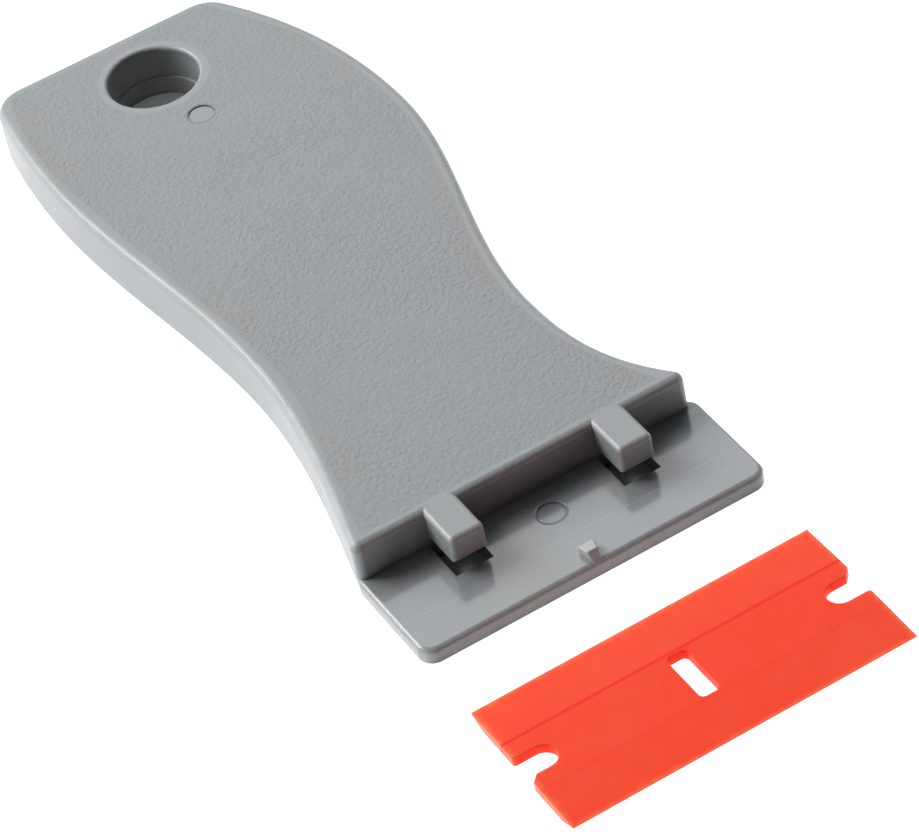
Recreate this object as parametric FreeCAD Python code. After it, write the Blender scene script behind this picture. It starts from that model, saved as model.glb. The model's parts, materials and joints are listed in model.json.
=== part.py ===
import FreeCAD, Part
import math
import os

# Algae scraper: a one-piece moulded handle with a blade ledge, and a double-edged plastic blade.
# Millimetres. +X points from the handle to the blade, +Z is up, and the handle's underside is Z = 0.
# The origin is midway between the hooks, at the foot of the shoulder wall that stops the blade.

# --- driving dimensions -------------------------------------------------------------------------

# handle, seen from above
HANDLE_LENGTH = 104.3       # back edge to the ledge's front edge
HANDLE_THICKNESS = 6.7
# the outline sways a little, so these are (on the -Y side, on the +Y side) of the hole's plane
TAIL_HALF = (16.3, 11.8)            # back edge, to the corners before rounding
TAIL_FLARE = (0.22, 0.62)           # how fast the half width grows along X at the back edge
BELLY_HALF = (18.25, 20.35)         # widest part of the palm
BELLY_FROM_BACK = (19.2, 31.2)
WAIST_HALF = (14.95, 13.25)         # narrowest part of the neck
WAIST_FROM_SHOULDER = (32.0, 21.0)
SHOULDER_FLARE = (0.25, 0.9)        # how fast the half width grows along X at the shoulder
TAIL_CORNER_RADIUS = 3.9
SHOULDER_CORNER_RADIUS = 0.9  # upright corners above the ledge
TOP_EDGE_RADIUS = 0.9
BOTTOM_EDGE_RADIUS = 0.5

# blade ledge
LEDGE_SIDE_MARGIN = 0.8     # ledge beyond the seated blade, on each side
LEDGE_THICKNESS = 2.1
LEDGE_CORNER_RADIUS = 1.8
LEDGE_EDGE_RADIUS = 0.6

# hanging hole: a wide bore from above meets a slightly narrower one from below
HANG_HOLE_FROM_BACK = 9.2
HANG_HOLE_RADIUS = 5.3
HANG_HOLE_STEP = 0.25       # difference between the two radii
HANG_HOLE_STEP_HEIGHT = 2.6
HANG_HOLE_RIM_RADIUS = 0.5

# ejector pin marks
PIN_MARK_RADIUS = 1.55
PIN_MARK_DEPTH = 0.12
PALM_MARK_FROM_HOLE = 9.8
PALM_MARK_Y = 1.1
LEDGE_MARK_FROM_FRONT = 9.2

# hooks that hold the blade down
HOOK_SPACING = 20.0         # centre to centre
HOOK_WIDTH = 4.0
HOOK_LENGTH = 5.3           # shoulder wall to hook front
HOOK_CLEARANCE = 0.15       # above the seated blade
HOOK_EDGE_RADIUS = 0.6
HOOK_ROOT_OVERLAP = 3.0     # how far a hook runs back inside the handle
WINDOW_MARGIN = 0.2         # the window under a hook is larger than the hook by this, on each side

# nub that stands in the blade's slot
NUB_LENGTH = 2.3
NUB_HEIGHT = 1.0
NUB_FRONT_CLEARANCE = 0.15  # to the front end of the seated blade's slot
NUB_RAMP = 0.9              # length of the sloping front
NUB_EDGE_RADIUS = 0.25
NUB_SIDE_CLEARANCE = 0.15
NUB_FRONT_SHARE = 0.5       # width of its front end as a share of its width
NUB_DENT_RADIUS = 0.7       # ball-shaped dent in one rear corner
NUB_DENT_DEPTH = 0.35

# blade
BLADE_LENGTH = 39.2
BLADE_WIDTH = 19.0
BLADE_THICKNESS = 1.2
CREASE_FROM_CENTRE = 3.7    # where the top starts to fall towards an edge
EDGE_TOP_DROP = 0.2         # how far the top falls at the cutting edge
UNDER_BEVEL_LENGTH = 2.2
EDGE_LAND = 0.08            # thickness left at the cutting edge
SLOT_LENGTH = 6.6
SLOT_WIDTH = 2.3
SLOT_CORNER_RADIUS = 0.6
NOTCH_WIDTH = 3.1
NOTCH_DEPTH = 4.0
NOTCH_MOUTH_RADIUS = 0.35
NOTCH_CHAMFER = 0.8

# seat and rest position
SEAT_CLEARANCE_REAR = 0.3   # seated blade to the shoulder wall
SEAT_CLEARANCE_BELOW = 0.02
BLADE_GAP = 10.4            # ledge front edge to the detached blade's near cutting edge
BLADE_REST_Y = -1.5         # the detached blade lies a little to one side

# --- sizes that follow ----------------------------------------------------------------------------

LEDGE_WIDTH = BLADE_LENGTH + 2 * LEDGE_SIDE_MARGIN
BLADE_SEAT_X = SEAT_CLEARANCE_REAR + BLADE_WIDTH / 2
SLOT_FRONT_X = BLADE_SEAT_X + SLOT_LENGTH / 2
LEDGE_FRONT_X = SLOT_FRONT_X    # the ledge ends level with the seated blade's slot
BACK_X = LEDGE_FRONT_X - HANDLE_LENGTH
LEDGE_HALF = LEDGE_WIDTH / 2
HOLE_X = BACK_X + HANG_HOLE_FROM_BACK
SEAT_Z = LEDGE_THICKNESS + SEAT_CLEARANCE_BELOW
HOOK_UNDERSIDE = SEAT_Z + BLADE_THICKNESS + HOOK_CLEARANCE
HOOK_CENTRES = (-HOOK_SPACING / 2, HOOK_SPACING / 2)
NUB_WIDTH = SLOT_WIDTH - 2 * NUB_SIDE_CLEARANCE
BLADE_REST_X = LEDGE_FRONT_X + BLADE_GAP + BLADE_WIDTH / 2
BLADE_TRAVEL = math.hypot(BLADE_REST_X - BLADE_SEAT_X, BLADE_REST_Y)

V = FreeCAD.Vector
TINY = 1e-4
NEAR = 0.01          # close enough to be the edge that is looked for
OVERRUN = 1.0        # how far a cutting shape runs past the surface that it opens
FULL_TURN = 360
EIGHTH_TURN = math.pi / 4


def box(x0, x1, y0, y1, z0, z1):
    return Part.makeBox(x1 - x0, y1 - y0, z1 - z0, V(x0, y0, z0))


def cylinder(radius, x, y, z0, z1):
    return Part.makeCylinder(radius, z1 - z0, V(x, y, z0))


def edges_where(shape, test):
    return [edge for edge in shape.Edges if test(edge)]


def is_upright(edge):
    """A straight edge parallel to Z."""
    ends = [vertex.Point for vertex in edge.Vertexes]
    if len(ends) != 2:
        return False
    run = ends[1] - ends[0]
    return abs(run.z) > TINY and math.hypot(run.x, run.y) < TINY


def lies_at_height(edge, z):
    bounds = edge.BoundBox
    return abs(bounds.ZMin - z) < TINY and abs(bounds.ZMax - z) < TINY


def upright_near(shape, x, y):
    """Upright edges at one place in plan."""
    def near(edge):
        foot = edge.Vertexes[0].Point
        return is_upright(edge) and math.hypot(foot.x - x, foot.y - y) < NEAR
    return edges_where(shape, near)


# --- handle ---------------------------------------------------------------------------------------

def side_curve(start, start_flare, end, end_flare, side):
    """One smooth stretch of the handle's side, from (x, half width) to (x, half width)."""
    run = (end[0] - start[0]) / 3
    poles = [
        (start[0], start[1]),
        (start[0] + run, start[1] + start_flare * run),
        (end[0] - run, end[1] - end_flare * run),
        (end[0], end[1]),
    ]
    curve = Part.BezierCurve()
    curve.setPoles([V(x, side * half, 0) for x, half in poles])
    return curve.toShape()


def side_edges():
    """Both sides in plan, from the back edge to the foot of the shoulder wall."""
    edges = [line((BACK_X, -TAIL_HALF[0]), (BACK_X, TAIL_HALF[1]))]
    for i, side in enumerate((-1, 1)):
        tail = (BACK_X, TAIL_HALF[i])
        belly = (BACK_X + BELLY_FROM_BACK[i], BELLY_HALF[i])
        waist = (-WAIST_FROM_SHOULDER[i], WAIST_HALF[i])
        shoulder = (0, LEDGE_HALF)
        edges.append(side_curve(tail, TAIL_FLARE[i], belly, 0, side))
        edges.append(side_curve(belly, 0, waist, 0, side))
        edges.append(side_curve(waist, 0, shoulder, SHOULDER_FLARE[i], side))
    return edges


def line(start, end):
    return Part.makeLine(V(start[0], start[1], 0), V(end[0], end[1], 0))


def slab(edges, z0, z1):
    """Closed outline pushed up from z0 to z1, with the tail's corners rounded."""
    body = Part.Face(Part.Wire(Part.__sortEdges__(edges))).extrude(V(0, 0, z1 - z0))
    body.translate(V(0, 0, z0))
    return round_upright(body, BACK_X, TAIL_HALF, TAIL_CORNER_RADIUS)


def round_upright(body, x, halves, radius):
    """Rounds the two upright edges at x, one on each side."""
    corners = upright_near(body, x, -halves[0]) + upright_near(body, x, halves[1])
    return body.makeFillet(radius, corners)


def palm_body():
    """The thick part above the ledge's level."""
    wall = line((0, -LEDGE_HALF), (0, LEDGE_HALF))
    body = slab(side_edges() + [wall], LEDGE_THICKNESS, HANDLE_THICKNESS)
    body = round_upright(body, 0, (LEDGE_HALF, LEDGE_HALF), SHOULDER_CORNER_RADIUS)
    top = edges_where(body, lambda edge: lies_at_height(edge, HANDLE_THICKNESS))
    return body.makeFillet(TOP_EDGE_RADIUS, top)


def base_plate():
    """The lower part, which runs on in front of the shoulder wall as the blade ledge."""
    edges = side_edges()
    for side in (-1, 1):
        edges.append(line((0, side * LEDGE_HALF), (LEDGE_FRONT_X, side * LEDGE_HALF)))
    edges.append(line((LEDGE_FRONT_X, -LEDGE_HALF), (LEDGE_FRONT_X, LEDGE_HALF)))
    plate = slab(edges, 0, LEDGE_THICKNESS)
    plate = round_upright(plate, LEDGE_FRONT_X, (LEDGE_HALF, LEDGE_HALF), LEDGE_CORNER_RADIUS)

    def is_ledge_rim(edge):
        return lies_at_height(edge, LEDGE_THICKNESS) and edge.BoundBox.XMin > -TINY

    plate = plate.makeFillet(LEDGE_EDGE_RADIUS, edges_where(plate, is_ledge_rim))
    return plate.makeFillet(BOTTOM_EDGE_RADIUS, edges_where(plate, lambda edge: lies_at_height(edge, 0)))


def hook(y):
    """One arm over the ledge, flush with the handle's top."""
    half = HOOK_WIDTH / 2
    arm = box(-HOOK_ROOT_OVERLAP, HOOK_LENGTH, y - half, y + half, HOOK_UNDERSIDE, HANDLE_THICKNESS)

    def is_outer(edge):
        bounds = edge.BoundBox
        at_front = bounds.XMin > HOOK_LENGTH - TINY
        along_top = lies_at_height(edge, HANDLE_THICKNESS) and bounds.YLength < TINY
        return at_front or along_top

    return arm.makeFillet(HOOK_EDGE_RADIUS, edges_where(arm, is_outer))


def hook_window(y):
    """The opening through the ledge straight under one hook."""
    half = HOOK_WIDTH / 2 + WINDOW_MARGIN
    front = HOOK_LENGTH + WINDOW_MARGIN
    return box(0, front, y - half, y + half, -OVERRUN, LEDGE_THICKNESS + OVERRUN)


def nub():
    """Small block near the front edge: it narrows to a sloping front that the blade rides up."""
    half = NUB_WIDTH / 2
    front_half = half * NUB_FRONT_SHARE
    front = SLOT_FRONT_X - NUB_FRONT_CLEARANCE
    back = front - NUB_LENGTH
    base = LEDGE_THICKNESS - LEDGE_EDGE_RADIUS
    top = LEDGE_THICKNESS + NUB_HEIGHT
    ramp_foot = LEDGE_THICKNESS - LEDGE_EDGE_RADIUS / 2
    profile = Part.makePolygon([
        V(back, -half, base),
        V(front, -half, base),
        V(front, -half, ramp_foot),
        V(front - NUB_RAMP, -half, top),
        V(back, -half, top),
        V(back, -half, base),
    ])
    plan = Part.makePolygon([
        V(back, -half, base),
        V(front, -front_half, base),
        V(front, front_half, base),
        V(back, half, base),
        V(back, -half, base),
    ])
    block = Part.Face(profile).extrude(V(0, 2 * half, 0))
    block = block.common(Part.Face(plan).extrude(V(0, 0, top - base)))

    def is_shown(edge):
        bounds = edge.BoundBox
        return bounds.ZMax > top - TINY or (is_upright(edge) and bounds.XMin < back + TINY)

    block = block.makeFillet(NUB_EDGE_RADIUS, edges_where(block, is_shown))
    out = NUB_DENT_RADIUS - NUB_DENT_DEPTH
    return block.cut(Part.makeSphere(NUB_DENT_RADIUS, V(back - out, -half / 2, top + out)))


def hang_hole():
    """The stepped bore, with a small round at its upper and lower rims."""
    narrow = HANG_HOLE_RADIUS - HANG_HOLE_STEP
    rim = HANG_HOLE_RIM_RADIUS
    above = HANDLE_THICKNESS + OVERRUN
    bore = cylinder(narrow, HOLE_X, 0, -OVERRUN, HANDLE_THICKNESS)
    bore = bore.fuse(cylinder(HANG_HOLE_RADIUS, HOLE_X, 0, HANG_HOLE_STEP_HEIGHT, above))
    for face_z, into, radius in ((HANDLE_THICKNESS, -1, HANG_HOLE_RADIUS), (0, 1, narrow)):
        ring = rim_round(radius, rim, face_z, into)
        bore = bore.fuse(ring)
    return bore.removeSplitter()


def rim_round(radius, rim, face_z, into):
    """What a round of size rim takes off the edge of a bore, at the face z, going into the handle."""
    start = V(HOLE_X + radius - TINY, 0, face_z + into * rim)
    outer = V(HOLE_X + radius + rim, 0, face_z)
    inset = rim * (1 - math.cos(EIGHTH_TURN))
    middle = V(HOLE_X + radius + inset, 0, face_z + into * inset)
    corner = V(HOLE_X + radius - TINY, 0, face_z)
    wire = Part.Wire([
        Part.Arc(start, middle, outer).toShape(),
        Part.makeLine(outer, corner),
        Part.makeLine(corner, start),
    ])
    return Part.Face(wire).revolve(V(HOLE_X, 0, 0), V(0, 0, 1), FULL_TURN)


def pin_mark(x, y, face_z):
    return cylinder(PIN_MARK_RADIUS, x, y, face_z - PIN_MARK_DEPTH, face_z + OVERRUN)


def handle():
    body = palm_body().fuse(base_plate()).removeSplitter()
    for y in HOOK_CENTRES:
        body = body.cut(hook_window(y))
    for y in HOOK_CENTRES:
        body = body.fuse(hook(y))
    body = body.fuse(nub())
    body = body.cut(hang_hole())
    body = body.cut(pin_mark(HOLE_X + PALM_MARK_FROM_HOLE, PALM_MARK_Y, HANDLE_THICKNESS))
    body = body.cut(pin_mark(LEDGE_FRONT_X - LEDGE_MARK_FROM_FRONT, 0, LEDGE_THICKNESS))
    return body.removeSplitter()


# --- blade ----------------------------------------------------------------------------------------

def blade_section():
    """Cross-section in X and Z: flat web, a fall towards each edge, and a bevel under each edge."""
    half = BLADE_WIDTH / 2
    edge_top = BLADE_THICKNESS - EDGE_TOP_DROP
    upper = [
        (-half, edge_top),
        (-CREASE_FROM_CENTRE, BLADE_THICKNESS),
        (CREASE_FROM_CENTRE, BLADE_THICKNESS),
        (half, edge_top),
    ]
    lower = [
        (half, edge_top - EDGE_LAND),
        (half - UNDER_BEVEL_LENGTH, 0),
        (-half + UNDER_BEVEL_LENGTH, 0),
        (-half, edge_top - EDGE_LAND),
    ]
    outline = upper + lower + upper[:1]
    return Part.Face(Part.makePolygon([V(x, -BLADE_LENGTH / 2, z) for x, z in outline]))


def notch(side):
    """A round-ended slot from one end of the blade."""
    radius = NOTCH_WIDTH / 2
    end = side * BLADE_LENGTH / 2
    inner = end - side * (NOTCH_DEPTH - radius)
    outer = end + side * OVERRUN
    above = BLADE_THICKNESS + OVERRUN
    channel = box(-radius, radius, min(inner, outer), max(inner, outer), -OVERRUN, above)
    return channel.fuse(cylinder(radius, 0, inner, -OVERRUN, above))


def centre_slot():
    half_length = SLOT_LENGTH / 2
    half_width = SLOT_WIDTH / 2
    above = BLADE_THICKNESS + OVERRUN
    slot = box(-half_length, half_length, -half_width, half_width, -OVERRUN, above)
    return slot.makeFillet(SLOT_CORNER_RADIUS, edges_where(slot, is_upright))


def blade():
    body = blade_section().extrude(V(0, BLADE_LENGTH, 0))
    for side in (-1, 1):
        body = body.cut(notch(side))
    for side in (-1, 1):
        end = side * BLADE_LENGTH / 2
        # opposite corners of the two notches are cut off, and the other two are only rounded
        cut_off = upright_near(body, -side * NOTCH_WIDTH / 2, end)
        body = body.makeChamfer(NOTCH_CHAMFER, cut_off)
        rounded = upright_near(body, side * NOTCH_WIDTH / 2, end)
        body = body.makeFillet(NOTCH_MOUTH_RADIUS, rounded)
    body = body.cut(centre_slot())
    body.translate(V(BLADE_REST_X, BLADE_REST_Y, SEAT_Z))
    return body


# --- output ---------------------------------------------------------------------------------------

def main():
    os.makedirs("parts", exist_ok=True)
    nodes = {"handle": handle(), "blade": blade()}
    for name, shape in nodes.items():
        solid = shape.Solids[0]
        state = "valid" if solid.isValid() else "not valid"
        print(name, len(shape.Solids), "solid", state, "volume", round(solid.Volume, 1))
        solid.exportStep("parts/" + name + ".step")
    slide = V(BLADE_SEAT_X - BLADE_REST_X, -BLADE_REST_Y, 0)
    axis = [round(value, 5) for value in slide / slide.Length]
    print("blade travel", round(BLADE_TRAVEL, 3), "axis", axis, "seat height", round(SEAT_Z, 3))


main()
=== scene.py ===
"""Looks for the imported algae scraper: camera, studio, moulded grey handle and orange plastic blade."""

import json
import math

import bmesh
import bpy
from mathutils import Matrix, Vector

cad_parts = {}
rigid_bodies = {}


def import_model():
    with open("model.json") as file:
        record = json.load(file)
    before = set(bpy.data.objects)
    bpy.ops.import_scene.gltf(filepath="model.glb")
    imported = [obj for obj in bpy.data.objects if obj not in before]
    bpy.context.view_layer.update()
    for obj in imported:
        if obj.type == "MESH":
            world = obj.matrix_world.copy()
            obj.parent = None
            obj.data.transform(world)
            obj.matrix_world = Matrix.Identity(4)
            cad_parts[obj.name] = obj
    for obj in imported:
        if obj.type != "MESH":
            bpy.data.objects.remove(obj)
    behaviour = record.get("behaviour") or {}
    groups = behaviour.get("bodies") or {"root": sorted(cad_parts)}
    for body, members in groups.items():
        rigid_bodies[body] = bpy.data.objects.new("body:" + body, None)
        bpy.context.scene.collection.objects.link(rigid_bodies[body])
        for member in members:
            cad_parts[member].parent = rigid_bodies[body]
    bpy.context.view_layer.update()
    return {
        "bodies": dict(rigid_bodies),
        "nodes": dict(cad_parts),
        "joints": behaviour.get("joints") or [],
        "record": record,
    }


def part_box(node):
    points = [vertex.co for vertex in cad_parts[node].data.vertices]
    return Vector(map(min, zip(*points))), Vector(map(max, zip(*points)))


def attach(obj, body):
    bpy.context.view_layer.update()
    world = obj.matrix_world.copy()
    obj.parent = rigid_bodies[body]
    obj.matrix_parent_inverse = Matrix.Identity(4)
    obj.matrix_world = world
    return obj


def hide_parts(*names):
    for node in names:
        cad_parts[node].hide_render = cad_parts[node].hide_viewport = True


MM = 0.001

# camera: a long lens looking down on the palm face
CAMERA_TARGET = Vector((-2.41, -4.97, 14.0)) * MM
CAMERA_DISTANCE = 448.8 * MM
CAMERA_AZIMUTH = math.radians(67.54)
CAMERA_ELEVATION = math.radians(41.86)
CAMERA_ROLL = math.radians(12.21)
SENSOR_WIDTH = 36.0
LENS = 176.28
CLIP = (0.01, 20)

# studio: each softbox is (direction from the object, distance, width, height, power)
ROOM_BEHIND = (0.36, 0.378, 0.396, 1)     # room light from behind the hanging hole
ROOM_IN_FRONT = (0.03, 0.028, 0.026, 1)   # and from in front of the blade
ROOM_FADE = (-0.6, 0.5)                   # where it goes from one to the other, by direction along X
FLOOR_SIZE = 16.0
FLOOR_DROP = 0.02 * MM      # a hair below the handle's underside
FLOOR_ROUGHNESS = 0.9
FLOOR_WHITE = (0.58, 0.58, 0.58, 1)
FLOOR_GLOW = 1.02           # the floor is a lit white table, so shadows nearly vanish
HOLE_GLOW = 0.05            # what is left of it under the hanging hole, so the floor there has a painted shadow
HOLE_GLOW_FADE = (1.0, 3.0)     # beyond the hole's edge, in millimetres
WINDOW_GLOW_FADE = (0.5, 2.0)   # beyond the windows' edges
LIGHT_TARGET = Vector((-15, 0, 0)) * MM
SOFTBOXES = {
    "back": ((-0.69, 0.28, 0.67), 1.0, 0.9, 0.6, 4.2),
    "key": ((-0.58, -0.52, 0.63), 1.0, 0.6, 0.6, 9.6),
}

# the palm's grain, in millimetres
GRAIN_DEPTH = 0.095
GRAIN_MARGIN = 1.0          # how far it stays from the handle's side
GRAIN_RIM = 0.9             # from the hanging hole
GRAIN_HOOK_MARGIN = 1.1     # from the shoulder wall
GRAIN_FADE = 0.5
GRAIN_BELOW_TOP = (0.06, 0.02)   # it fades in between these depths below the palm face
GRAIN_MIDDLE = 0.8          # mean of the two noises together
OUTLINE_STATIONS = 15       # places along the palm where its half width is read
SAME_PLACE = 1e-6           # two mesh points closer than this along X are at one place

# other relief of the moulding, in millimetres
WAVE_DEPTH = 0.008          # slow unevenness of every face
MARK_DEPTH = 0.05           # rings round the ejector pin marks
LINE_SHARE = 0.15           # the ledge's lines stand this share of it

# places on the moulding, in millimetres
PIN_MARK_RADIUS = 1.55
PIN_MARK_PLACES = ((-72.2, 1.1), (3.9, 0.0))
WITNESS_LINE_X = 8.2        # faint line across the ledge
NUB_BACK_X = 10.5
WINDOW_FRONT_X = 5.5
WINDOW_REACH_Y = 12.2
LEDGE_TOP = 2.1
HOLE_STEP_Z = 2.6
HOLE_STEP_WIDTH = 0.4
HANDLED_BAND = (5.5, 1.0)   # a hand's warmer patches grow between these distances from the side

# roughness of the grey plastic: the ledge is glossiest
LEDGE_ROUGHNESS = (0.11, 0.15)
OFF_LEDGE_ROUGHER = 0.24
PALM_ROUGHER = 0.12

# how much of the darker or paler grey each part of the handle takes
# the first share below is painted shade in the palm grain's creases
CREASE_SHADE_SHARE = 0.10
LEDGE_SHARE = 0.16
RING_SHARE = 0.6
LINE_PALENESS = 0.22
LEDGE_FRONT_PALENESS = 0.06

# colours, linear
COOL_GREY = (0.270, 0.297, 0.311, 1)
WARM_GREY = (0.284, 0.299, 0.304, 1)
HANDLED_GREY = (0.300, 0.288, 0.274, 1)
GROOVE_GREY = (0.150, 0.158, 0.160, 1)
# painted shade for the faces that look forward
FRONT_SHADE_GREY = (0.090, 0.085, 0.078, 1)
# pale grey for the pale nub, ledge front and lines, and painted highlight on the roundings and the
# hole's step
PALE_AND_HIGHLIGHT_GREY = (0.450, 0.465, 0.465, 1)
# painted shadow on the floor under the windows
WINDOW_SHADOW_GREY = (0.60, 0.60, 0.60, 1)
BLADE_ORANGE = (1.0, 0.052, 0.009, 1)
# painted shade in the blade's creases
BLADE_CREASE_SHADE = (0.90, 0.008, 0.002, 1)
# painted glow of light through the blade's thin edges
BLADE_EDGE_GLOW = (1.0, 0.20, 0.085, 1)

# blade, in millimetres across its width from its centre line
CREASE_AT = 3.7
CREASE_HALF_WIDTH = 0.36
BLADE_BEVEL = 0.09
BEVEL_ANGLE = math.radians(25)
MERGE_DISTANCE = 0.002
FLAT_ANGLE = math.radians(0.5)

# the blade's surface
BLADE_SPECULAR = 0.12
BLADE_TRANSLUCENCE = 0.25
BLADE_SCATTER = (1.0, 0.25, 0.1)
BLADE_SCATTER_DEPTH = 0.7 * MM
BLADE_ROUGHNESS = (0.30, 0.40)
BLADE_WAVE_DEPTH = 0.004 * MM
# painted glow at the blade's edges, painted highlight past the far crease and painted shade in the
# creases; the cloud is the plastic's own uneven tone
EDGE_BAND = (1.2, 0.3)
EDGE_GLOW_SHARE = 0.75
FAR_STRIP_HIGHLIGHT_SHARE = 0.07
CLOUD_SHARE = 0.10
FAR_CREASE_SHADE_SHARE = 0.9
NEAR_CREASE_SHADE_SHARE = 0.2


# --- node helpers ---------------------------------------------------------------------------------

class Nodes:
    """Short calls for building one material's node tree."""

    def __init__(self, name):
        self.material = bpy.data.materials.new(name)
        self.material.use_nodes = True
        self.tree = self.material.node_tree
        self.shader = self.tree.nodes["Principled BSDF"]
        coordinates = self.tree.nodes.new("ShaderNodeTexCoord")
        self.facing = self.split(coordinates.outputs["Normal"])
        scale = self.new("ShaderNodeVectorMath", operation="SCALE")
        scale.inputs["Scale"].default_value = 1 / MM
        self.link(coordinates.outputs["Object"], scale.inputs[0])
        self.place = scale.outputs[0]                     # position in millimetres
        self.x, self.y, self.z = self.split(self.place)

    def new(self, kind, **settings):
        node = self.tree.nodes.new(kind)
        for key, value in settings.items():
            setattr(node, key, value)
        return node

    def link(self, source, target):
        self.tree.links.new(source, target)

    def put(self, socket, value):
        """A number, a colour or another node's output."""
        if isinstance(value, bpy.types.NodeSocket):
            self.link(value, socket)
        else:
            socket.default_value = value

    def split(self, vector):
        """The three parts of a vector."""
        node = self.new("ShaderNodeSeparateXYZ")
        self.link(vector, node.inputs[0])
        return node.outputs

    def distance_from(self, x, y=0.0):
        """Distance in plan from (x, y)."""
        along = self.square(self.math("SUBTRACT", self.x, x))
        across = self.square(self.math("SUBTRACT", self.y, y))
        return self.math("SQRT", self.math("ADD", along, across))

    def square(self, value):
        return self.product(value, value)

    def math(self, operation, a, b=0.0, clamp=False):
        node = self.new("ShaderNodeMath", operation=operation, use_clamp=clamp)
        self.put(node.inputs[0], a)
        self.put(node.inputs[1], b)
        return node.outputs[0]

    def product(self, a, b):
        return self.math("MULTIPLY", a, b)

    def gap(self, a, b):
        """Size of the difference of two numbers."""
        return self.math("ABSOLUTE", self.math("SUBTRACT", a, b))

    def ramp(self, value, low, high, out_low=0.0, out_high=1.0):
        """Smooth step of a value from low to high."""
        node = self.new("ShaderNodeMapRange", interpolation_type="SMOOTHSTEP")
        settings = (low, high, out_low, out_high)
        self.put(node.inputs["Value"], value)
        for name, number in zip(("From Min", "From Max", "To Min", "To Max"), settings):
            node.inputs[name].default_value = number
        return node.outputs["Result"]

    def noise(self, scale, detail=2.0, roughness=0.5, distortion=0.0, at=None):
        node = self.new("ShaderNodeTexNoise")
        self.link(at or self.place, node.inputs["Vector"])
        settings = {"Scale": scale, "Detail": detail, "Roughness": roughness, "Distortion": distortion}
        for name, number in settings.items():
            node.inputs[name].default_value = number
        return node.outputs["Fac"]

    def mix(self, factor, a, b):
        """Mix of two colours."""
        node = self.new("ShaderNodeMix", data_type="RGBA")
        self.put(node.inputs["Factor"], factor)
        self.put(node.inputs["A"], a)
        self.put(node.inputs["B"], b)
        return node.outputs["Result"]

    def bump(self, height, distance, normal=None):
        node = self.new("ShaderNodeBump")
        node.inputs["Strength"].default_value = 1.0
        node.inputs["Distance"].default_value = distance
        self.link(height, node.inputs["Height"])
        if normal is not None:
            self.link(normal, node.inputs["Normal"])
        return node.outputs["Normal"]


# --- what the materials need to know about the model ---------------------------------------------

class HandlePlaces:
    """Places on the handle in millimetres, from its mesh and the record's mounts."""

    def __init__(self, frame):
        low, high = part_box("handle")
        self.back = low.x / MM
        self.top = high.z / MM
        mounts = {mount["name"]: mount for mount in frame["record"]["mounts"]}
        hole = mounts["hang_hole_upper"]
        self.hole = hole["pos_m"][0] / MM
        self.hole_radius = hole["dims"]["r_mm"]
        self.points = [v.co / MM for v in frame["nodes"]["handle"].data.vertices]

    def half_width(self, x, side):
        """Half width of the palm at x on one side, between the nearest points of that side."""
        past_hole = self.hole_radius * 2
        wall = [p for p in self.points if p.y * side > past_hole and self.top / 2 < p.z < self.top]
        before = [p for p in wall if p.x <= x]
        after = [p for p in wall if p.x >= x]
        if not before or not after:
            return 0.0
        a = max(before, key=lambda p: (round(p.x, 1), p.y * side))
        b = min(after, key=lambda p: (round(p.x, 1), -p.y * side))
        if b.x - a.x < SAME_PLACE:
            return max(a.y * side, b.y * side)
        return side * (a.y + (b.y - a.y) * (x - a.x) / (b.x - a.x))


# --- materials ------------------------------------------------------------------------------------

def inside_side(n, places, side):
    """How far a point is inside one side of the palm's outline."""
    along = n.new("ShaderNodeMapRange")
    n.link(n.x, along.inputs["Value"])
    along.inputs["From Min"].default_value = places.back
    along.inputs["From Max"].default_value = 0.0
    curve = n.new("ShaderNodeFloatCurve")
    n.link(along.outputs["Result"], curve.inputs["Value"])
    points = curve.mapping.curves[0].points
    last = OUTLINE_STATIONS - 1
    for i in range(OUTLINE_STATIONS):
        share = i / last
        inset = min(max(share, 0.01), 0.99)
        half = places.half_width(places.back * (1 - inset), side) / -places.back
        if i in (0, last):
            points[0 if i == 0 else len(points) - 1].location = (share, half)
        else:
            points.new(share, half)
    curve.mapping.update()
    half = n.product(curve.outputs["Value"], -places.back)
    return n.math("SUBTRACT", half, n.product(n.y, side))


def palm_mask(n, places, side):
    """1 on the flat of the palm away from its edges, 0 elsewhere."""
    rim = n.math("SUBTRACT", n.distance_from(places.hole), places.hole_radius)
    masks = [
        n.ramp(side, GRAIN_MARGIN, GRAIN_MARGIN + GRAIN_FADE),
        n.ramp(rim, GRAIN_RIM, GRAIN_RIM + GRAIN_FADE),
        n.ramp(n.x, -GRAIN_HOOK_MARGIN, -GRAIN_HOOK_MARGIN - GRAIN_FADE),
        n.ramp(n.x, places.back + GRAIN_MARGIN, places.back + GRAIN_MARGIN + GRAIN_FADE),
        n.ramp(n.z, *(places.top - depth for depth in GRAIN_BELOW_TOP)),
    ]
    total = masks[0]
    for mask in masks[1:]:
        total = n.product(total, mask)
    return total


def leather_grain(n):
    """Height of the fine moulded grain: soft pebbles crossed by finer wrinkles."""
    pebbles = n.noise(1.9, detail=1.0, roughness=0.5, distortion=0.3)
    wrinkles = n.noise(3.4, detail=2.5, roughness=0.6, distortion=0.6)
    height = n.math("ADD", pebbles, n.product(wrinkles, 0.6))
    return n.math("SUBTRACT", height, GRAIN_MIDDLE)


def grain_strength(n):
    """The grain is cut a little deeper in some parts of the palm than in others."""
    return n.ramp(n.noise(0.06, detail=1.0), 0.3, 0.7, 0.8, 1.2)


def rounded_edges(n):
    """1 on the roundings between level and upright faces, and on the hooks' upright edges."""
    x, y, z = (n.math("ABSOLUTE", part) for part in n.facing)
    level = n.math("SQRT", n.math("ADD", n.square(x), n.square(y)))
    rims = n.ramp(n.math("MINIMUM", level, z), 0.12, 0.6)
    in_front = n.ramp(n.x, 0.3, 0.6)
    corners = n.product(n.ramp(n.math("MINIMUM", x, y), 0.12, 0.6), in_front)
    return n.math("MAXIMUM", rims, corners)


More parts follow.
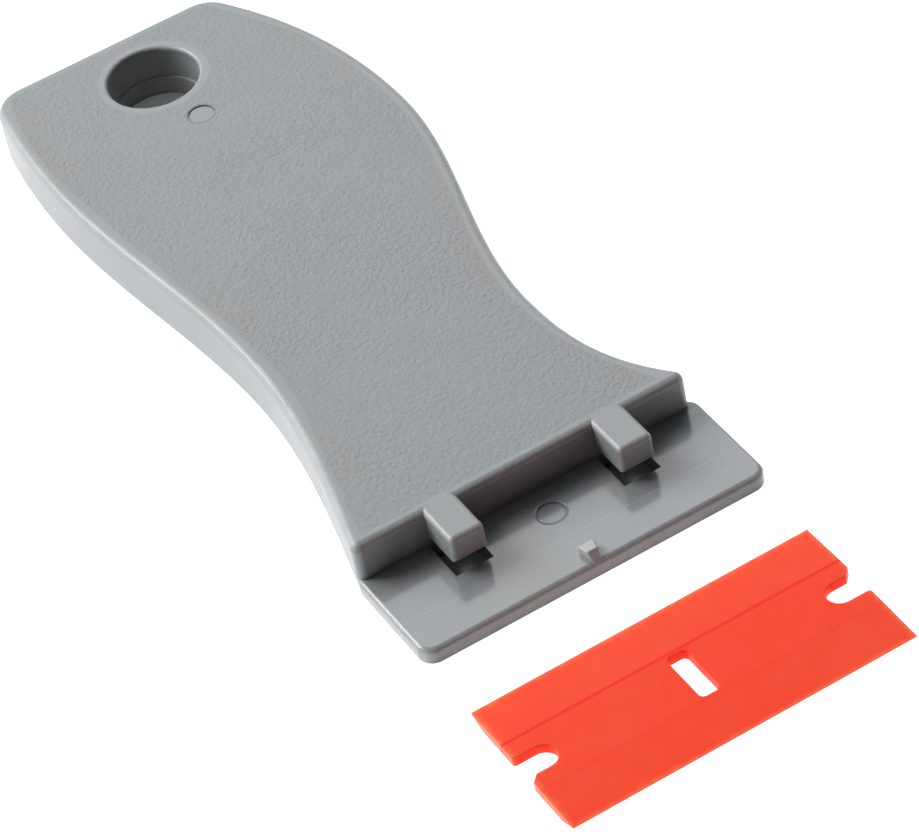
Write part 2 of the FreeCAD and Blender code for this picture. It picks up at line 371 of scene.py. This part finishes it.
def pin_marks(n):
    """1 on the sunk rings round the two ejector pin marks, and a little inside them."""
    marks = []
    for place in PIN_MARK_PLACES:
        off = n.gap(n.distance_from(*place), PIN_MARK_RADIUS)
        inside = n.ramp(n.distance_from(*place), PIN_MARK_RADIUS, PIN_MARK_RADIUS - 0.1, 0.0, 0.2)
        marks.append(n.math("MAXIMUM", n.ramp(off, 0.26, 0.04), inside))
    on_top = n.ramp(n.facing[2], 0.3, 0.6)
    return n.product(n.math("MAXIMUM", *marks), on_top)


def hole_step_highlight(n, places):
    """1 on the small step where the hanging hole's two bores meet, where a painted highlight goes."""
    at_height = n.ramp(n.gap(n.z, HOLE_STEP_Z), 0.12, 0.03)
    reach = places.hole_radius + HOLE_STEP_WIDTH
    in_hole = n.ramp(n.distance_from(places.hole), reach, reach - HOLE_STEP_WIDTH / 2)
    return n.product(at_height, in_hole)


def front_face_shade(n):
    """Painted shade: the faces that look forward are painted darker, most of all along the ledge's
    bottom edge.
    """
    forward = n.ramp(n.facing[0], 0.5, 0.95)
    front_shade_patches = n.ramp(n.noise(0.3, detail=3.0), 0.3, 0.7, 0.30, 0.45)
    bottom_shade = n.ramp(n.z, 0.9, 0.2, 0.0, 0.45)
    return n.product(forward, n.math("ADD", front_shade_patches, bottom_shade))


def ledge_lines(n):
    """Height of the witness line, and of the faint flow streaks on the ledge."""
    wavy = n.math("ADD", n.x, n.product(n.noise(0.25), 0.3))
    line = n.ramp(n.gap(wavy, WITNESS_LINE_X), 0.16, 0.0)
    stretch = n.new("ShaderNodeMapping")
    stretch.inputs["Scale"].default_value = (1.6, 0.16, 1.0)
    n.link(n.place, stretch.inputs["Vector"])
    streaks = n.ramp(n.noise(1.0, detail=4.0, at=stretch.outputs[0]), 0.60, 0.72)
    on_ledge = n.ramp(n.x, 0.2, 0.8)
    height = n.math("ADD", line, n.product(streaks, 0.35))
    return n.product(height, on_ledge)


def handled_patches(n, side):
    """Patches near the palm's side that a hand has warmed in colour."""
    near_side = n.ramp(side, *HANDLED_BAND)
    patches = n.ramp(n.noise(0.16, detail=3.0), 0.42, 0.62, 0.0, 0.55)
    return n.product(near_side, patches)


def pale_places(n, places, lines):
    """How pale the roundings, the nub, the ledge's front, the hole's step and the ledge's lines are; on
    the roundings and the hole's step the paleness is a painted highlight.
    """
    uneven_highlight = n.ramp(n.noise(0.4, detail=3.0), 0.2, 0.7, 0.45, 0.8)
    # painted highlight along the roundings, uneven in strength
    edges = n.product(rounded_edges(n), uneven_highlight)
    ledge_front = n.product(n.ramp(n.x, WITNESS_LINE_X, WITNESS_LINE_X + 0.2), LEDGE_FRONT_PALENESS)
    above_ledge = n.ramp(n.z, LEDGE_TOP + 0.05, LEDGE_TOP + 0.3)
    nub = n.product(n.ramp(n.x, NUB_BACK_X - 0.1, NUB_BACK_X), above_ledge)
    pale = n.math("MAXIMUM", edges, n.math("MAXIMUM", ledge_front, nub))
    pale = n.math("MAXIMUM", pale, hole_step_highlight(n, places))
    return n.math("ADD", pale, n.product(lines, LINE_PALENESS), clamp=True)


def grey_relief(n, palm, grain, rings, lines):
    """Normal of the grained palm, the slightly uneven faces, the pin marks and the ledge's lines."""
    cut = n.product(palm, grain_strength(n))
    normal = n.bump(n.product(grain, cut), GRAIN_DEPTH * MM)
    waves = n.noise(0.30, detail=2.0, roughness=0.4)
    normal = n.bump(waves, WAVE_DEPTH * MM, normal)
    marks = n.math("SUBTRACT", n.product(lines, LINE_SHARE), rings)
    return n.bump(marks, MARK_DEPTH * MM, normal)


def grey_colour(n, places, palm, side, grain, rings, lines, on_ledge):
    patches = n.ramp(n.noise(0.11, detail=3.0), 0.35, 0.65)
    colour = n.mix(patches, COOL_GREY, WARM_GREY)
    colour = n.mix(n.product(handled_patches(n, side), palm), colour, HANDLED_GREY)
    # painted shade in the grain's creases
    grain_crease_shade = n.product(n.ramp(grain, 0.0, -0.2), palm)
    colour = n.mix(n.product(grain_crease_shade, CREASE_SHADE_SHARE), colour, GROOVE_GREY)
    colour = n.mix(n.product(on_ledge, LEDGE_SHARE), colour, GROOVE_GREY)
    # painted highlight on the roundings and the hole's step, with the paler nub, ledge front and lines
    colour = n.mix(pale_places(n, places, lines), colour, PALE_AND_HIGHLIGHT_GREY)
    colour = n.mix(n.product(rings, RING_SHARE), colour, GROOVE_GREY)
    # painted shade on the faces that look forward, darkest along the ledge's bottom edge
    return n.mix(front_face_shade(n), colour, FRONT_SHADE_GREY)


def grey_roughness(n, palm, on_ledge):
    satin = n.ramp(n.noise(0.25, detail=3.0, roughness=0.5), 0.3, 0.7, *LEDGE_ROUGHNESS)
    off_ledge = n.product(n.math("SUBTRACT", 1.0, on_ledge), OFF_LEDGE_ROUGHER)
    return n.math("ADD", satin, n.math("ADD", off_ledge, n.product(palm, PALM_ROUGHER)))


def grey_plastic(places):
    """Moulded grey plastic: grained palm, smoother ledge, hooks and sides."""
    n = Nodes("grey_plastic")
    side = n.math("MINIMUM", inside_side(n, places, -1), inside_side(n, places, 1))
    palm = palm_mask(n, places, side)
    grain = leather_grain(n)
    rings = pin_marks(n)
    lines = ledge_lines(n)
    on_ledge = n.product(n.ramp(n.x, 0.1, 0.4), n.ramp(n.z, LEDGE_TOP + 0.1, LEDGE_TOP))
    n.link(grey_relief(n, palm, grain, rings, lines), n.shader.inputs["Normal"])
    colour = grey_colour(n, places, palm, side, grain, rings, lines, on_ledge)
    n.link(colour, n.shader.inputs["Base Color"])
    n.link(grey_roughness(n, palm, on_ledge), n.shader.inputs["Roughness"])
    return n.material


def orange_colour(n):
    """Orange, with painted shade in the two creases along the blade, a painted glow paling its edges and
    a painted highlight past the far crease.
    """
    low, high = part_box("blade")
    centre = (low + high) / 2 / MM
    half = (high - low) / 2 / MM
    across = n.math("SUBTRACT", n.x, centre.x)
    along = n.math("SUBTRACT", n.y, centre.y)
    from_long_edge = n.math("SUBTRACT", half.x, n.math("ABSOLUTE", across))
    from_end = n.math("SUBTRACT", half.y, n.math("ABSOLUTE", along))
    from_edge = n.math("MINIMUM", from_long_edge, from_end)
    # painted glow towards the blade's edges
    edge = n.ramp(n.math("ADD", from_edge, n.noise(0.9)), *EDGE_BAND)
    # painted highlight on the strip past the far crease
    far_strip_highlight = n.ramp(across, -CREASE_AT, -CREASE_AT - 0.3)
    cloud = n.ramp(n.noise(0.15, detail=3.0), 0.35, 0.7, 0.0, CLOUD_SHARE)
    pale = n.math("ADD", n.product(edge, EDGE_GLOW_SHARE), n.product(far_strip_highlight, FAR_STRIP_HIGHLIGHT_SHARE))
    pale = n.math("ADD", pale, cloud, clamp=True)
    colour = n.mix(pale, BLADE_ORANGE, BLADE_EDGE_GLOW)
    # painted shade in the two creases
    for place, share in ((-CREASE_AT, FAR_CREASE_SHADE_SHARE), (CREASE_AT, NEAR_CREASE_SHADE_SHARE)):
        crease_shade = n.ramp(n.gap(across, place), CREASE_HALF_WIDTH, 0.0)
        colour = n.mix(n.product(crease_shade, share), colour, BLADE_CREASE_SHADE)
    return colour


def orange_plastic():
    """Glossy, slightly translucent orange, with painted shade in the creases and a painted glow at the
    edges.
    """
    n = Nodes("orange_plastic")
    n.link(orange_colour(n), n.shader.inputs["Base Color"])
    n.shader.inputs["Specular IOR Level"].default_value = BLADE_SPECULAR
    n.shader.inputs["Subsurface Weight"].default_value = BLADE_TRANSLUCENCE
    n.shader.inputs["Subsurface Radius"].default_value = BLADE_SCATTER
    n.shader.inputs["Subsurface Scale"].default_value = BLADE_SCATTER_DEPTH
    rough = n.ramp(n.noise(0.5, detail=3.0), 0.3, 0.7, *BLADE_ROUGHNESS)
    n.link(rough, n.shader.inputs["Roughness"])
    waves = n.noise(0.9, detail=3.0, roughness=0.55)
    n.link(n.bump(waves, BLADE_WAVE_DEPTH), n.shader.inputs["Normal"])
    return n.material


def past(n, value, edge, fade, inside=0.0):
    """Goes from inside to 1 while a value passes from edge + fade[0] to edge + fade[1]."""
    return n.ramp(value, edge + fade[0], edge + fade[1], inside, 1.0)


def floor_material(places):
    """White table lit from inside, with painted shadow where the handle covers it under its openings."""
    n = Nodes("floor")
    n.shader.inputs["Roughness"].default_value = FLOOR_ROUGHNESS
    n.shader.inputs["Emission Color"].default_value = (1, 1, 1, 1)
    # painted shadow: the floor's glow and whiteness drop under the windows and the hanging hole
    past_front = past(n, n.math("ABSOLUTE", n.x), WINDOW_FRONT_X, WINDOW_GLOW_FADE)
    past_side = past(n, n.math("ABSOLUTE", n.y), WINDOW_REACH_Y, WINDOW_GLOW_FADE)
    past_windows = n.math("MAXIMUM", past_front, past_side)
    from_hole = n.distance_from(places.hole)
    past_hole = past(n, from_hole, places.hole_radius, HOLE_GLOW_FADE, HOLE_GLOW / FLOOR_GLOW)
    glow = n.product(n.product(past_hole, past_windows), FLOOR_GLOW)
    n.link(glow, n.shader.inputs["Emission Strength"])
    n.link(n.mix(past_windows, WINDOW_SHADOW_GREY, FLOOR_WHITE), n.shader.inputs["Base Color"])
    return n.material


# --- pieces ---------------------------------------------------------------------------------------

def rounded_blade(node, material):
    """The blade with its sharp edges slightly rounded, as they are on the moulding."""
    mesh = bmesh.new()
    mesh.from_mesh(node.data)
    bmesh.ops.remove_doubles(mesh, verts=mesh.verts, dist=MERGE_DISTANCE * MM)
    bmesh.ops.dissolve_limit(mesh, angle_limit=FLAT_ANGLE, verts=mesh.verts, edges=mesh.edges)
    data = bpy.data.meshes.new("rounded_blade")
    mesh.to_mesh(data)
    mesh.free()
    piece = bpy.data.objects.new("rounded_blade", data)
    piece.matrix_world = node.matrix_world
    bpy.context.scene.collection.objects.link(piece)
    data.materials.append(material)
    bevel = piece.modifiers.new("bevel", "BEVEL")
    bevel.width = BLADE_BEVEL * MM
    bevel.segments = 2
    bevel.limit_method = "ANGLE"
    bevel.angle_limit = BEVEL_ANGLE
    data.shade_smooth()
    normals = piece.modifiers.new("normals", "WEIGHTED_NORMAL")
    normals.keep_sharp = False
    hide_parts("blade")
    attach(piece, "blade")


# --- studio ---------------------------------------------------------------------------------------

def camera_axes():
    """Right, up and back of the camera, as the columns of its matrix."""
    right = Vector((math.cos(CAMERA_AZIMUTH), math.sin(CAMERA_AZIMUTH), 0))
    level = math.cos(CAMERA_ELEVATION)
    forward = Vector((-right.y * level, right.x * level, -math.sin(CAMERA_ELEVATION)))
    down = forward.cross(right)
    c, s = math.cos(CAMERA_ROLL), math.sin(CAMERA_ROLL)
    rolled_right = c * right + s * down
    rolled_down = c * down - s * right
    return Matrix((rolled_right, -rolled_down, -forward)).transposed()


def camera():
    data = bpy.data.cameras.new("camera")
    data.sensor_width = SENSOR_WIDTH
    data.lens = LENS
    data.clip_start, data.clip_end = CLIP
    obj = bpy.data.objects.new("camera", data)
    bpy.context.scene.collection.objects.link(obj)
    axes = camera_axes()
    place = CAMERA_TARGET + axes.col[2] * CAMERA_DISTANCE
    obj.matrix_world = Matrix.Translation(place) @ axes.to_4x4()
    bpy.context.scene.camera = obj


def floor(places):
    mesh = bpy.data.meshes.new("floor")
    half = FLOOR_SIZE / 2
    corners = [(-half, -half, 0), (half, -half, 0), (half, half, 0), (-half, half, 0)]
    mesh.from_pydata(corners, [], [(0, 1, 2, 3)])
    obj = bpy.data.objects.new("floor", mesh)
    obj.location.z = -FLOOR_DROP
    bpy.context.scene.collection.objects.link(obj)
    obj.data.materials.append(floor_material(places))


def softbox(name, direction, distance, width, height, power):
    data = bpy.data.lights.new(name, "AREA")
    data.shape = "RECTANGLE"
    data.size, data.size_y = width, height
    data.energy = power
    obj = bpy.data.objects.new(name, data)
    bpy.context.scene.collection.objects.link(obj)
    away = Vector(direction).normalized()
    obj.location = LIGHT_TARGET + away * distance
    obj.rotation_mode = "QUATERNION"
    obj.rotation_quaternion = away.to_track_quat("Z", "Y")


def room():
    """Soft room light that falls off towards the front of the object."""
    world = bpy.data.worlds.new("world")
    world.use_nodes = True
    tree = world.node_tree
    coordinates = tree.nodes.new("ShaderNodeTexCoord")
    split = tree.nodes.new("ShaderNodeSeparateXYZ")
    tree.links.new(coordinates.outputs["Generated"], split.inputs[0])
    along = tree.nodes.new("ShaderNodeMapRange")
    along.interpolation_type = "SMOOTHSTEP"
    along.inputs["From Min"].default_value = ROOM_FADE[0]
    along.inputs["From Max"].default_value = ROOM_FADE[1]
    tree.links.new(split.outputs["X"], along.inputs["Value"])
    mix = tree.nodes.new("ShaderNodeMix")
    mix.data_type = "RGBA"
    tree.links.new(along.outputs["Result"], mix.inputs["Factor"])
    mix.inputs["A"].default_value = ROOM_BEHIND
    mix.inputs["B"].default_value = ROOM_IN_FRONT
    tree.links.new(mix.outputs["Result"], tree.nodes["Background"].inputs["Color"])
    return world


def studio(places):
    scene = bpy.context.scene
    scene.view_settings.view_transform = "Standard"
    scene.world = room()
    for name, settings in SOFTBOXES.items():
        softbox(name, *settings)
    floor(places)
    camera()


# --- build ----------------------------------------------------------------------------------------

def main():
    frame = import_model()
    nodes = frame["nodes"]
    places = HandlePlaces(frame)
    nodes["handle"].data.materials.clear()
    nodes["handle"].data.materials.append(grey_plastic(places))
    rounded_blade(nodes["blade"], orange_plastic())
    studio(places)


main()
